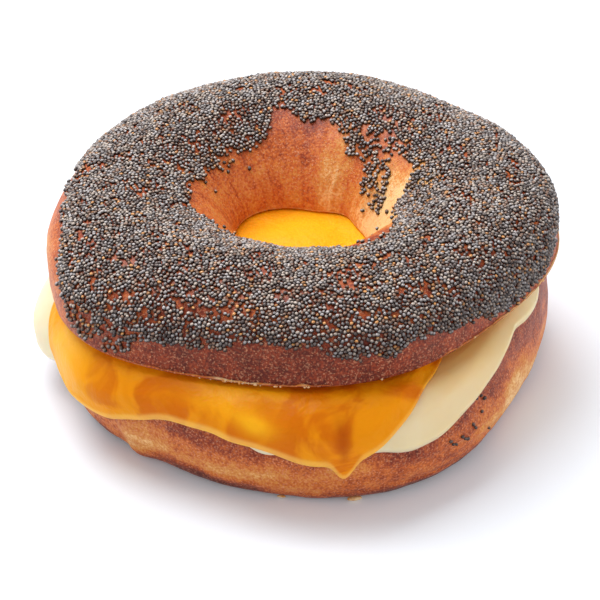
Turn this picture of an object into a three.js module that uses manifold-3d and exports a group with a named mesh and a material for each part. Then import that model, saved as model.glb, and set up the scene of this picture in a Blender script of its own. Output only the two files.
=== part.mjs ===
// A poppy seed bagel, cut level and filled with a soft white layer and a slice of melted orange cheese.
// Millimetres, +Z up. The lower half stands on z = 0, and the whole is centred over the origin.
// A bearing is an angle seen from above: 0 points to +X, a quarter turn to +Y, and the front is -Y.

import * as THREE from 'three';
import { ParametricGeometry } from 'three/addons/geometries/ParametricGeometry.js';
import { mergeVertices } from 'three/addons/utils/BufferGeometryUtils.js';
import Module from 'manifold-3d';

// Upper half: a ring of dough with a funnel for a hole
const crownRadius = 53.5;
const crownUndercut = 0.3;
const crownBelly = 6.1;
const crownHeight = 18.4;
const crestRadius = 35.3;
const shoulderPower = 2.08;
const funnelPower = 1.6;
const holeRadius = 13.6;
const holeStretch = 0.15;
const holeStretchBearing = -35;
const holeWidening = { bearing: 48, width: 20, size: 2.2 };
const holeShift = { x: 2.1, y: 2.3 };
const rimLift = 0.6;

// Lower half: the same dough, widest low down, flat underneath
const footRadius = 47.6;
const heelRadius = 52.6;
const heelCutRadius = 48;
const heelBelly = 11.7;
const heelHeight = 22.6;
const heelCentre = { x: 4, y: -4.1 };
const heelHole = { x: -1, y: 3, throat: 11, cut: 12.5, foot: 17, throatHeight: 12 };

// The two cut faces are parallel and rise a little towards +X
const cutSlope = 1.4 / 53;
const fillingHeight = 5;
const layerGap = 0.4;
const whiteSlack = 0.4;
const sliceSlack = 1.1;

// White layer: a soft round sheet, thicker where no cheese lies on it
const whiteThickness = 2.1;
const whiteAloneExtra = 2;
const whiteEdge = 1.3;
const whiteReach = 53;
const whiteShift = { size: 7.5, bearing: 250 };
const whiteLobes = [
  { bearing: 181.5, width: 15, size: 13.2, power: 4 },
  { bearing: 242, width: 16, size: -6.4, power: 4 },
  { bearing: 268, width: 6, size: -2.6 },
  { bearing: 297, width: 9, size: 2.5 },
  { bearing: 333, width: 21, size: -5.8 },
  { bearing: 347, width: 9, size: 2.4 },
];
const flapBearing = 178;
const flapWidth = 14;
const flapSquareness = 4;
const flapBulge = 5;

// Cheese: a square slice laid off centre, its front corners melted down over the side
const sliceSide = 87;
const sliceFront = 57;
const sliceRight = 41.3;
const sliceBearing = 243;
const sliceThickness = 1.7;
const sliceEdge = 0.9;
const meltReach = 65;
const meltLean = 4.3;
const cornerPower = 26;
const dripBearing = 277;
const sliceLobes = [
  { bearing: 203, width: 6, size: -1.3 },
  { bearing: 220, width: 10, size: 3.2 },
  { bearing: dripBearing, width: 2.2, size: 3.5 },
  { bearing: 308, width: 8, size: -1.6 },
];
const holeBulge = 1.2;
const holeBulgeRadius = 9;

// Poppy seeds fused to the dough
const seedRadius = { least: 0.6, most: 0.72 };
const seedSink = 0.25;
const crownSeeds = 190;
const crownSeedSpacing = 4.4;
const heelSeeds = 9;
const heelSeedSpacing = 2.2;
const heelSeedPatch = { from: 303, to: 318, low: 8, high: 15 };
const seedDraw = 20260;

// How finely each form is divided
const aroundDough = 48;
const aroundSheet = 60;
const sheetCrowding = 0.35;

// Uneven dough: each wave has so many lobes, a size, and the bearing of one of its highs
const crownWaves = [
  { lobes: 1, size: 1.3, bearing: 38 },
  { lobes: 2, size: 1.1, bearing: 16 },
  { lobes: 3, size: 0.9, bearing: -19 },
  { lobes: 4, size: 1.1, bearing: 16 },
  { lobes: 5, size: 1.0, bearing: 0 },
];
const undercutWaves = [
  { lobes: 1, size: 1.4, bearing: 139 },
  { lobes: 2, size: 0.7, bearing: -35 },
  { lobes: 3, size: 0.5, bearing: 62 },
];
const heelWaves = [
  { lobes: 2, size: 1.5, bearing: 39 },
  { lobes: 3, size: 0.9, bearing: 44 },
  { lobes: 4, size: 1.3, bearing: 25 },
];

const { cos, sin, min, max, hypot, PI } = Math;
const quarter = PI / 2;
const radians = THREE.MathUtils.degToRad;
const smooth = THREE.MathUtils.smoothstep;
const mix = THREE.MathUtils.lerp;
const clamp = THREE.MathUtils.clamp;

const wasm = await Module();
wasm.setup();

function wavesAt(waves, bearing) {
  return waves.reduce((sum, w) => sum + w.size * cos(w.lobes * (bearing - radians(w.bearing))), 0);
}

// A smooth hump of height 1 at one bearing, its width in degrees; a higher power gives it a flatter top
function hump(bearing, at, width, power = 2) {
  const off = THREE.MathUtils.euclideanModulo(THREE.MathUtils.radToDeg(bearing) - at + 180, 360) - 180;
  return Math.exp(-(Math.abs(off / width) ** power));
}

// Humps and hollows of an edge, added up
function lobesAt(lobes, bearing) {
  return lobes.reduce((sum, l) => sum + l.size * hump(bearing, l.bearing, l.width, l.power), 0);
}

// Everything above the lower half's belly leans with the cut
function leaning(x, level) {
  return level + cutSlope * x * clamp((level - heelBelly) / (heelHeight - heelBelly), 0, 1);
}

function crownCutHeight(x) {
  return leaning(x, heelHeight) + fillingHeight;
}

// Upper half, as a ring: each section of its outline is a quarter turn of angle a
function crownSide(bearing, a) {
  const reach = crownRadius + wavesAt(crownWaves, bearing);
  const undercut = crownUndercut + wavesAt(undercutWaves, bearing);
  return { reach: reach - undercut * (1 - sin(a)), height: crownBelly * (1 - cos(a)) };
}

function crownShoulder(bearing, a) {
  const reach = crownRadius + wavesAt(crownWaves, bearing);
  const crest = crestRadius * reach / crownRadius;
  const out = cos(a) ** (2 / shoulderPower);
  const up = sin(a) ** (2 / shoulderPower);
  return { reach: mix(crest, reach, out), height: mix(crownBelly, crownHeight, up) };
}

function crownFunnel(bearing, a) {
  const reach = crownRadius + wavesAt(crownWaves, bearing);
  const crest = crestRadius * reach / crownRadius;
  const oval = holeRadius * (1 + holeStretch * cos(2 * (bearing - radians(holeStretchBearing))));
  const hole = oval + lobesAt([holeWidening], bearing);
  const inwards = sin(a) ** (2 / funnelPower);
  const up = max(cos(a), 0) ** (2 / funnelPower);
  return { reach: mix(crest, hole, inwards), height: crownHeight * up, shift: inwards };
}

function crownCutFace(bearing, a) {
  const hole = crownFunnel(bearing, quarter);
  const rim = crownSide(bearing, 0);
  const outwards = sin(a);
  return { reach: mix(hole.reach, rim.reach, outwards), height: 0, shift: 1 - outwards };
}

function crownPoint(section, bearing, a) {
  const { reach, height, shift = 0 } = section(bearing, a);
  const x = reach * cos(bearing) + holeShift.x * shift;
  const y = reach * sin(bearing) + holeShift.y * shift;
  const lift = rimLift * (1 + sin(3 * bearing)) * min(reach / crownRadius, 1) ** 8;
  return new THREE.Vector3(x, y, crownCutHeight(x) + height + lift);
}

// Lower half, as a ring: underside, bulging side, cut face and the hole's wall
function heelUnderside(bearing, a) {
  const outwards = a / quarter;
  const foot = footRadius + wavesAt(heelWaves, bearing);
  return { reach: mix(heelHole.foot, foot, outwards), height: 0, hole: 1 - outwards };
}

function heelLowerSide(bearing, a) {
  const wave = wavesAt(heelWaves, bearing);
  return { reach: wave + mix(footRadius, heelRadius, sin(a)), height: heelBelly * (1 - cos(a)) };
}

function heelUpperSide(bearing, a) {
  const wave = wavesAt(heelWaves, bearing);
  return { reach: wave + mix(heelCutRadius, heelRadius, cos(a)), height: mix(heelBelly, heelHeight, sin(a)) };
}

function heelCutFace(bearing, a) {
  const inwards = a / quarter;
  const rim = heelCutRadius + wavesAt(heelWaves, bearing);
  return { reach: mix(rim, heelHole.cut, inwards), height: heelHeight, hole: inwards };
}

function heelHoleTop(bearing, a) {
  const height = mix(heelHeight, heelHole.throatHeight, a / quarter);
  return { reach: mix(heelHole.throat, heelHole.cut, 1 - sin(a)), height, hole: 1 };
}

function heelHoleFoot(bearing, a) {
  const height = heelHole.throatHeight * (1 - sin(a));
  return { reach: mix(heelHole.throat, heelHole.foot, 1 - cos(a)), height, hole: 1 };
}

function heelPoint(section, bearing, a) {
  const { reach, height, hole = 0 } = section(bearing, a);
  const x = heelCentre.x + reach * cos(bearing) + heelHole.x * hole;
  const y = heelCentre.y + reach * sin(bearing) + heelHole.y * hole;
  return new THREE.Vector3(x, y, leaning(x, height));
}

// A layer that lies on the lower half's cut face and hangs down its side.
// reach is measured along the sheet from the centre, height straight off the surface below it.
function drapedPoint(bearing, reach, height, bulge = 0) {
  const flat = heelCutRadius + wavesAt(heelWaves, bearing);
  const out = heelRadius - heelCutRadius + height + bulge;
  const down = heelHeight - heelBelly + height;
  let walked = min(reach, flat);
  let r = walked;
  let drop = 0;
  const steps = 48;
  for (let i = 0; i < steps && walked < reach; i++) {
    const from = quarter * i / steps;
    const to = quarter * (i + 1) / steps;
    const across = out * (sin(to) - sin(from));
    const below = down * (cos(from) - cos(to));
    const part = min((reach - walked) / hypot(across, below), 1);
    r += across * part;
    drop += below * part;
    walked += hypot(across, below) * part;
  }
  drop += max(reach - walked, 0);
  const x = heelCentre.x + r * cos(bearing);
  const y = heelCentre.y + r * sin(bearing);
  return new THREE.Vector3(x, y, leaning(x, heelHeight + height - drop));
}

// How far the square slice runs from the centre at a bearing, its corners rounded by melting
function sliceReach(bearing) {
  const off = bearing - radians(sliceBearing);
  const sides = [
    cos(off) / sliceFront,
    sin(off) / sliceRight,
    -sin(off) / (sliceSide - sliceRight),
    -cos(off) / (sliceSide - sliceFront),
    1 / (meltReach - meltLean * sin(off)),
  ];
  const nearest = sides.reduce((sum, side) => sum + max(side, 0) ** cornerPower, 0) ** (-1 / cornerPower);
  return nearest + lobesAt(sliceLobes, bearing);
}

function whiteReachAt(bearing) {
  const lean = whiteShift.size * cos(bearing - radians(whiteShift.bearing));
  return whiteReach + lean + lobesAt(whiteLobes, bearing);
}

// Thickness of the white layer: it fills the space under the upper half where the slice ends
function whiteHeight(bearing, reach) {
  const alone = smooth(reach - sliceReach(bearing), 9, 12);
  const flat = heelCutRadius + wavesAt(heelWaves, bearing);
  const under = 1 - smooth(reach, flat - 6, flat);
  return whiteThickness + whiteAloneExtra * alone * under;
}

function whitePoint(bearing, reach, top) {
  const bulge = flapBulge * hump(bearing, flapBearing, flapWidth, flapSquareness);
  const thin = smooth(whiteReachAt(bearing) - reach, 0, 5);
  const body = mix(whiteEdge, whiteHeight(bearing, reach), thin);
  return drapedPoint(bearing, reach, layerGap + top * body, bulge + whiteSlack);
}

// The slice lies on the white layer, and nearer the dough where it reaches past that layer's edge
function slicePoint(bearing, reach, top) {
  const bulge = flapBulge * hump(bearing, flapBearing, flapWidth, flapSquareness);
  const beyond = smooth(reach - whiteReachAt(bearing), 1, 6);
  const base = mix(whiteThickness + 2 * layerGap, whiteEdge + layerGap, beyond);
  const thin = smooth(sliceReach(bearing) - reach, 0, 4);
  const body = mix(sliceEdge, sliceThickness, thin);
  const point = drapedPoint(bearing, reach, base + top * body, bulge + sliceSlack);
  const fromHole = hypot(point.x - holeShift.x, point.y - holeShift.y) / holeBulgeRadius;
  point.z += top * holeBulge * max(1 - fromHole ** 2, 0);
  return point;
}

// Turns an open grid into a closed solid's mesh: shared corners merged, flat slivers dropped
function closedGeometry(pointAt, around, rows) {
  const fill = (u, v, target) => target.copy(pointAt(2 * PI * u, v * rows));
  const grid = new ParametricGeometry(fill, around, rows);
  return weldedGeometry(grid);
}

function weldedGeometry(geometry) {
  geometry.deleteAttribute('normal');
  geometry.deleteAttribute('uv');
  const welded = mergeVertices(geometry, 1e-3);
  const corners = [...welded.index.array];
  const kept = [];
  for (let i = 0; i < corners.length; i += 3) {
    const [a, b, c] = corners.slice(i, i + 3);
    if (a !== b && b !== c && c !== a) kept.push(a, b, c);
  }
  welded.setIndex(kept);
  return welded;
}

// A ring made of sections, each with its own number of rows
function ringGeometry(sections, pointOn) {
  const rows = sections.reduce((sum, s) => sum + s.rows, 0);
  const pointAt = (bearing, row) => {
    let left = row;
    let section = sections[0];
    for (section of sections) {
      if (left <= section.rows) break;
      left -= section.rows;
    }
    return pointOn(section.outline, bearing, quarter * min(left / section.rows, 1));
  };
  return closedGeometry(pointAt, aroundDough, rows);
}

// A sheet: out from the centre underneath, round its edge, and back over its top
function sheetGeometry(pointOn, reachAt) {
  const hangingRows = 5;
  const flatRows = { under: 2, over: 4 };
  const rowsUnder = flatRows.under + hangingRows;
  const rows = rowsUnder + 1 + hangingRows + flatRows.over;
  const reachOnRow = (bearing, row, flat) => {
    const whole = reachAt(bearing);
    const turn = min(heelCutRadius + wavesAt(heelWaves, bearing) - 1, whole * 0.85);
    if (row <= flat) return turn * row / flat;
    return mix(turn, whole, ((row - flat) / hangingRows) ** 1.2);
  };
  const pointAt = (turned, row) => {
    const bearing = radians(dripBearing) + turned - sheetCrowding * sin(turned);
    if (row <= rowsUnder) return pointOn(bearing, reachOnRow(bearing, row, flatRows.under), 0);
    return pointOn(bearing, reachOnRow(bearing, rows - row, flatRows.over), 1);
  };
  return closedGeometry(pointAt, aroundSheet, rows);
}

function solidOf(geometry) {
  const vertProperties = new Float32Array(geometry.attributes.position.array);
  const triVerts = new Uint32Array(geometry.index.array);
  return new wasm.Manifold(new wasm.Mesh({ numProp: 3, vertProperties, triVerts }));
}

function geometryOf(solid) {
  const { vertProperties, triVerts } = solid.getMesh();
  const geometry = new THREE.BufferGeometry();
  geometry.setAttribute('position', new THREE.BufferAttribute(new Float32Array(vertProperties), 3));
  geometry.setIndex(new THREE.BufferAttribute(new Uint32Array(triVerts), 1));
  return geometry;
}

// A repeatable run of even random numbers from 0 to 1
function draws(seed) {
  let state = seed;
  return () => {
    state = (state * 1664525 + 1013904223) % 4294967296;
    return state / 4294967296;
  };
}

// Seeds are kept at least one spacing apart, and sit partly sunk in the crust
function withSeeds(base, count, spacing, draw, spotAt) {
  const spots = [];
  let solid = solidOf(base);
  for (let tries = 0; tries < 60 * count && spots.length < count; tries++) {
    const { point, normal } = spotAt(draw);
    if (spots.some((other) => other.distanceTo(point) < spacing)) continue;
    spots.push(point);
    const radius = mix(seedRadius.least, seedRadius.most, draw());
    const seed = new THREE.IcosahedronGeometry(radius, 0);
    seed.scale(1.15, 1, 0.85);
    seed.rotateX(2 * PI * draw());
    seed.rotateY(2 * PI * draw());
    seed.translate(...point.clone().addScaledVector(normal, -seedSink).toArray());
    solid = solid.add(solidOf(weldedGeometry(seed)));
  }
  return geometryOf(solid);
}

function surfaceSpot(pointOn, section, bearing, a) {
  const step = 0.01;
  const point = pointOn(section, bearing, a);
  const along = pointOn(section, bearing + step, a).sub(point);
  const up = pointOn(section, bearing, a + step).sub(point);
  return { point, normal: along.cross(up).normalize() };
}

// Seeds start this high above the cut, and end this far down the funnel, as an angle
function seedFloor(bearing) {
  const high = 7 * hump(bearing, 190, 18, 4) + 3.3 * hump(bearing, 266, 15);
  const low = 6 * hump(bearing, 220, 11, 4) + 5.9 * hump(bearing, 337, 19, 4);
  return 7 + high - low;
}

function funnelLimit(bearing) {
  const less = 18 * hump(bearing, 75, 14) + 27 * hump(bearing, 97, 9) + 27 * hump(bearing, 307, 20);
  const more = 9 * hump(bearing, 186, 12) + 36 * hump(bearing, 20, 20);
  return radians(45 - less + more);
}

function crownSpot(draw) {
  for (;;) {
    const bearing = 2 * PI * draw();
    const along = draw() * 2;
    const section = along < 1 ? crownShoulder : crownFunnel;
    const a = 0.02 + (quarter - 0.04) * (along % 1);
    const { reach, height } = section(bearing, a);
    const crowded = draw() * crownRadius > reach;
    const bare = section === crownShoulder ? height < seedFloor(bearing) : a > funnelLimit(bearing);
    if (!crowded && !bare) return surfaceSpot(crownPoint, section, bearing, a);
  }
}

function heelSpot(draw) {
  const { from, to, low, high } = heelSeedPatch;
  const bearing = radians(mix(from, to, draw()));
  const height = mix(low, high, draw());
  const below = height < heelBelly;
  const a = below ? Math.acos(1 - height / heelBelly) : Math.asin((height - heelBelly) / (heelHeight - heelBelly));
  return surfaceSpot(heelPoint, below ? heelLowerSide : heelUpperSide, bearing, a);
}

function crown(draw) {
  const base = ringGeometry([
    { outline: crownSide, rows: 2 },
    { outline: crownShoulder, rows: 8 },
    { outline: crownFunnel, rows: 8 },
    { outline: crownCutFace, rows: 3 },
  ], crownPoint);
  return withSeeds(base, crownSeeds, crownSeedSpacing, draw, crownSpot);
}

function heel(draw) {
  const base = ringGeometry([
    { outline: heelUnderside, rows: 1 },
    { outline: heelLowerSide, rows: 4 },
    { outline: heelUpperSide, rows: 5 },
    { outline: heelCutFace, rows: 1 },
    { outline: heelHoleTop, rows: 2 },
    { outline: heelHoleFoot, rows: 3 },
  ], heelPoint);
  return withSeeds(base, heelSeeds, heelSeedSpacing, draw, heelSpot);
}

const crust = new THREE.MeshStandardMaterial({ color: '#5a4038', roughness: 0.6, metalness: 0 });
const bread = new THREE.MeshStandardMaterial({ color: '#b5713f', roughness: 0.65, metalness: 0 });
const cheese = new THREE.MeshStandardMaterial({ color: '#e89410', roughness: 0.4, metalness: 0 });
const white = new THREE.MeshStandardMaterial({ color: '#efe3c2', roughness: 0.45, metalness: 0 });

function piece(name, geometry, material) {
  const mesh = new THREE.Mesh(geometry, material);
  mesh.name = name;
  return mesh;
}

const draw = draws(seedDraw);
const bagel = new THREE.Group();
bagel.add(
  piece('crown', crown(draw), crust),
  piece('cheddar_slice', sheetGeometry(slicePoint, sliceReach), cheese),
  piece('white_layer', sheetGeometry(whitePoint, whiteReachAt), white),
  piece('heel', heel(draw), bread),
);

// The origin is under the middle of the whole, on the surface it stands on
const box = new THREE.Box3().setFromObject(bagel, true);
const middle = box.getCenter(new THREE.Vector3());
bagel.position.set(-middle.x, -middle.y, -box.min.z);
bagel.updateMatrixWorld(true);

export default bagel;
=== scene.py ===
"""A poppy seed bagel filled with a soft white layer and melted orange cheese, dressed over its solids."""
import math
from functools import partial

import bpy
import numpy as np
from bpy.props import FloatProperty, FloatVectorProperty, IntProperty, PointerProperty
from bpy.types import NodeSocket, Operator, Panel, PropertyGroup
from mathutils import Matrix, Vector


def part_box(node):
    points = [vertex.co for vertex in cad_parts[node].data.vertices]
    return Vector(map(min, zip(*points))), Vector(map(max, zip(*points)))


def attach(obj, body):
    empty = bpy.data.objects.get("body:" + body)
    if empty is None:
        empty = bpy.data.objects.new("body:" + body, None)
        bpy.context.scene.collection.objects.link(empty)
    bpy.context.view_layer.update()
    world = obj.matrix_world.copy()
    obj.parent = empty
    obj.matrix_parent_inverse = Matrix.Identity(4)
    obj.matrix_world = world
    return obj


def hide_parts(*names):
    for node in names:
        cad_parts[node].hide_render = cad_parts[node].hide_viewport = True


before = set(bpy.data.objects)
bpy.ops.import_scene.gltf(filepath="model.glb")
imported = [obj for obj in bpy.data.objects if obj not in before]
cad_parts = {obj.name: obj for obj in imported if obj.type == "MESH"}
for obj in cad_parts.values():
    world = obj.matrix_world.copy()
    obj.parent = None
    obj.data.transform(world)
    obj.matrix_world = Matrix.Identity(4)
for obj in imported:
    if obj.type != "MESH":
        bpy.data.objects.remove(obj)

bl_info = {
    "name": "Filled Poppy Seed Bagel",
    "version": (1, 0, 0),
    "blender": (4, 5, 0),
    "location": "View3D > Sidebar > Bagel",
    "description": "Builds a filled poppy seed bagel from numpy surfaces over its solids",
    "category": "Add Mesh",
}

MM = 0.001
QUARTER = math.pi / 2
TURN = 2 * math.pi

# Uneven dough, each wave as lobes, size in mm and the bearing of one of its highs in degrees
CROWN_WAVES = ((1, 1.3, 38), (2, 1.1, 16), (3, 0.9, -19), (4, 1.1, 16), (5, 1.0, 0))
UNDERCUT_WAVES = ((1, 1.4, 139), (2, 0.7, -35), (3, 0.5, 62))
HEEL_WAVES = ((2, 1.5, 39), (3, 0.9, 44), (4, 1.3, 25))

# Bearing and width in degrees, size in mm, and how flat the top is where it isn't a plain bell
WHITE_LOBES = (
    (181.5, 15, 13.2, 4), (242, 16, -6.4, 4), (268, 6, -2.6), (297, 9, 2.5), (333, 21, -5.8), (347, 9, 2.4),
)
SLICE_LOBES = ((203, 6, -1.3), (220, 10, 3.2), (277, 2.2, 3.5), (308, 8, -1.6))
SLICE_RIPPLES = ((254, 6, 1.1), (214, 6, 0.9), (268, 4, 0.6), (286, 6, 0.7), (277, 2.6, -0.9), (236, 7, -0.5))
HOLE_LOBES = ((48, 20, 2.2),)
HEEL_GROOVES = ((218, 5, -0.7), (231, 8, -0.9))
SEED_FLOOR = ((183, 25, 7, 4), (266, 15, 3.3), (220, 11, -6, 4), (337, 19, -5.9, 4))

# The same rows with a share as the size: how far seeds go down, how well baked, how torn and how many bits. The
# band and wall rows also paint light and shade into the bake.
FUNNEL_LIMIT = ((75, 14, -0.2), (97, 9, -0.3), (307, 20, -0.3), (186, 12, 0.1), (20, 20, 0.4))
# Band above the cut: darker at the front, partly baking and partly painted shade; paler at the left rim as painted
# light and sheen
BAND_BAKE_AND_LIGHT = ((275, 62, 0.22), (188, 24, -0.36))
# Hole wall: paler on its right side, which faces the lights, as painted light, and paler in a narrow strip at the
# back right
WALL_BAKE_AND_LIGHT = ((355, 34, -0.55), (66, 9, -0.24))
HEEL_BAKE = ((214, 7, 0.14), (222.5, 1.6, -0.12), (229, 6, -0.2))
TORN_RIM = ((257.5, 6, 0.7), (272.5, 1.2, 0.4))
TORN_BITS = ((257.5, 6, 0.8), (272.5, 1.2, 0.4))
ABOVE_TEARS = 9  # mm above the cut, higher than any tear reaches

# Shares of the seeds' shades, seeds on the lower half by bearing and height in mm, flakes by bearing and length
SEED_SHARES = {"slate": 0.28, "grey": 0.26, "black": 0.22, "brown": 0.18, "tan": 0.06}
HEEL_SEEDS = (
    (316, 16), (317, 15), (304, 10.5), (305, 10), (303.4, 11.4), (308, 10), (309, 9.4), (307, 11), (311, 12),
    (311.6, 11), (318, 7.2), (315, 13), (314, 16.4),
)
FOOT_FLAKES = ((262.8, 1.9), (280.4, 3.2))

# Where parts lie off centre: the lower half, the bottom of the funnel and the hole of the lower half
HEEL_CENTRE = np.array([4.0, -4.1]) * MM
FUNNEL_SHIFT = np.array([2.1, 2.3]) * MM
HEEL_HOLE_SHIFT = np.array([-1.0, 3.0]) * MM
WHITE_SHIFT_BEARING = 250
CUT_SLOPE = 1.4 / 53
HOLE_OVAL, HOLE_OVAL_BEARING = 0.15, -35
SHOULDER_POWER, FUNNEL_POWER, SLICE_CORNER_POWER = 2.08, 1.6, 26

# The camera, fitted to the cut face's outline, the upper half's widest line and the hole: degrees, m and mm
CAMERA_ELEVATION, CAMERA_DISTANCE, CAMERA_TARGET = 35, 0.64, (1.7, 0, 13.6)
FOCAL_PIXELS, FRAME_PIXELS, SENSOR = 2885, 600, 36

# Square lights: name, place, side in m, power in W, and whether they light more than gloss
LIGHTS = (
    ("softbox", (-0.35, 0.42, 1.0), 0.95, 14, True),
    ("side_fill", (0.8, -0.3, 0.17), 0.5, 1.3, True),
    ("glint", (-0.35, 0.3, 0.9), 0.25, 6, False),
)


def length(name, description, millimetres):
    """A size property, its default given in millimetres."""
    return FloatProperty(
        name=name, description=description, default=millimetres * MM, unit="LENGTH", subtype="DISTANCE"
    )


def angle(name, description, degrees):
    """An angle property, its default given in degrees."""
    return FloatProperty(
        name=name, description=description, default=math.radians(degrees), unit="ROTATION", subtype="ANGLE"
    )


def linear(hex_colour):
    """An sRGB hex colour as linear red, green, blue and alpha."""
    parts = np.array([int(hex_colour[i:i + 2], 16) for i in (1, 3, 5)]) / 255
    parts = np.where(parts <= 0.04045, parts / 12.92, ((parts + 0.055) / 1.055) ** 2.4)
    return (*parts.tolist(), 1.0)


def colour(name, description, hex_colour):
    """A colour property, its default given as sRGB hex."""
    return FloatVectorProperty(
        name=name, description=description, default=linear(hex_colour), size=4, min=0, max=1, subtype="COLOR"
    )


class BagelDough(PropertyGroup):
    """Sizes of the two halves of the bagel."""
    crown_radius: length("Crown radius", "Mean radius of the upper half", 53.5)
    crown_undercut: length("Crown undercut", "How far the side runs in below the belly", 0.3)
    crown_belly: length("Crown belly", "Height of the widest line above the cut", 6.1)
    crown_height: length("Crown height", "Height of the crest above the cut", 18.4)
    crest_radius: length("Crest radius", "Radius of the highest line of the ring", 35.3)
    hole_radius: length("Hole radius", "Radius of the hole at the cheese", 13.6)
    rim_lift: length("Rim lift", "How far the cut rim rises and falls", 0.6)
    foot_radius: length("Foot radius", "Radius of the flat underside", 47.6)
    heel_radius: length("Heel radius", "Widest radius of the lower half", 52.6)
    heel_cut_radius: length("Heel cut radius", "Radius of the lower half's cut face", 48)
    heel_belly: length("Heel belly", "Height of the lower half's widest line", 11.7)
    heel_height: length("Heel height", "Height of the lower half's cut face", 22.6)
    heel_throat: length("Heel throat", "Narrowest radius of the hole in the lower half", 11)
    heel_hole_cut: length("Heel hole at the cut", "Radius of that hole at the cut face", 12.5)
    heel_hole_foot: length("Heel hole at the foot", "Radius of that hole at the underside", 17)
    throat_height: length("Throat height", "Height of the narrowest part of that hole", 12)


class BagelFilling(PropertyGroup):
    """Sizes of the cheese slice and the white layer."""
    filling_height: length("Filling height", "Distance between the two cut faces", 5)
    layer_gap: length("Layer gap", "Air left between layers", 0.4)
    white_slack: length("White slack", "How loosely the white layer hangs", 0.4)
    slice_slack: length("Slice slack", "How loosely the cheese hangs", 1.1)
    white_thickness: length("White thickness", "Thickness of the white layer under the cheese", 2.1)
    white_alone: length("White alone", "Extra thickness where no cheese lies on it", 2)
    white_edge: length("White edge", "Thickness at the white layer's edge", 1.3)
    white_reach: length("White reach", "Mean reach of the white layer from the centre", 53)
    white_shift: length("White shift", "How far the white layer lies off centre", 7.5)
    flap_bulge: length("Flap bulge", "How far the white flap at the left stands out", 5)
    slice_side: length("Slice side", "Side of the square cheese slice", 87)
    slice_front: length("Slice front", "Reach of the slice's front side", 57)
    slice_right: length("Slice right", "Reach of the slice's right side", 41.3)
    slice_bearing: angle("Slice bearing", "Direction of the slice's front side", 243)
    slice_thickness: length("Slice thickness", "Thickness of the cheese", 1.7)
    slice_edge: length("Slice edge", "Thickness at the edge of the cheese", 0.9)
    melt_reach: length("Melt reach", "Furthest reach of the melted corners", 65)
    melt_lean: length("Melt lean", "How much further the left corner runs", 4.3)
    hole_bulge: length("Hole bulge", "How far the cheese wells up in the hole", 1.2)


class BagelSeeds(PropertyGroup):
    """Sizes and numbers of the poppy seeds."""
    seed_length: length("Seed length", "Length of a poppy seed", 1.04)
    spacing: length("Seed spacing", "Distance that crowded seeds keep from each other", 0.9)
    count: IntProperty(name="Seed count", description="Seeds strewn before bare places are cleared", default=18000)


class BagelColours(PropertyGroup):
    """Colours of crust, crumb, cheese, white layer and seeds."""
    crust_pale: colour("Pale crust", "Least baked crust", "#f6cb8e")
    crust_golden: colour("Golden crust", "Lightly baked crust", "#dc9244")
    crust_tan: colour("Tan crust", "Baked crust", "#cc682b")
    crust_red: colour("Red-brown crust", "Well baked crust", "#93391b")
    crust_dark: colour("Dark crust", "Darkest crust", "#5c1c0c")
    speck: colour("Blister", "Tiny pale blisters of the crust", "#e8a67e")
    crumb: colour("Crumb", "Inside of the bread", "#efd3a4")
    cheese: colour("Cheese", "Melted orange cheese", "#f09408")
    cheese_deep: colour("Deep cheese", "Darker clouds in the cheese", "#d97002")
    # Painted shade: darker cheese in the crease above the drip
    cheese_fold_shade: colour("Folded cheese", "Fold above the drip", "#b65004")
    # Painted light: a paler, yellower cheese for the top-lit cheese in the hole and for highlight patches on the
    # front
    cheese_lit: colour("Cheese in the hole", "Cheese welling up in the hole", "#ffb21a")
    # Rim colour: the thin edge's own paler tone, with painted highlight along it and on a patch at the left corner
    cheese_pale: colour("Cheese rim", "Thin edge of the cheese", "#ffcc66")
    white: colour("White layer", "Cream-white layer", "#eed9b0")
    white_cloud: colour("White clouds", "Paler clouds in the white layer", "#f0dfbc")
    # Tan tone toward the right side and under the upper half's rim: partly stained, partly painted shade
    white_stain_and_shade: colour("White stain", "Where the cheese has stained the white layer", "#eab25c")
    # The seed colours are the pale tones of each seed's lit upper side, as painted light
    seed_slate: colour("Slate seed", "Blue-grey poppy seed", "#cbc3c2")
    seed_grey: colour("Grey seed", "Warm grey poppy seed", "#dccabc")
    seed_black: colour("Black seed", "Darkest poppy seed", "#80726e")
    seed_brown: colour("Brown seed", "Brown poppy seed", "#b08a74")
    seed_tan: colour("Tan seed", "Unripe pale poppy seed", "#f5ae68")
    # Painted shade: the near-black side of each seed away from the lights
    seed_shade: colour("Seed underside", "Shaded side of a seed, wetted by the glaze", "#241410")


def smooth(value, low, high):
    """Smooth step from 0 at low to 1 at high."""
    t = np.clip((value - low) / (high - low), 0, 1)
    return t * t * (3 - 2 * t)


def mix(start, end, share):
    """Straight blend from start to end."""
    return start + (end - start) * share


def waves_at(waves, bearing):
    """Sum of size * cos(lobes * (bearing - high)) over the waves."""
    return sum(size * MM * np.cos(lobes * (bearing - math.radians(at))) for lobes, size, at in waves)


def hump(bearing, at, width, power=2):
    """exp(-(difference / width) ** power) of a bearing in radians from one in degrees, the short way round."""
    off = (np.degrees(bearing) - at + 180) % 360 - 180
    return np.exp(-np.abs(off / width) ** power)


def humps(bearing, table):
    """Sum of size * hump over a table's rows of bearing, width, size and, where it isn't 2, power."""
    return sum(size * hump(bearing, at, width, *power) for at, width, size, *power in table)


def bell(value, middle, width):
    """exp(-((value - middle) / width) ** 2)."""
    return np.exp(-((value - middle) / width) ** 2)


def unit(vectors):
    """Rows of vectors, each scaled to length 1."""
    return vectors / np.linalg.norm(vectors, axis=1, keepdims=True)


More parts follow.
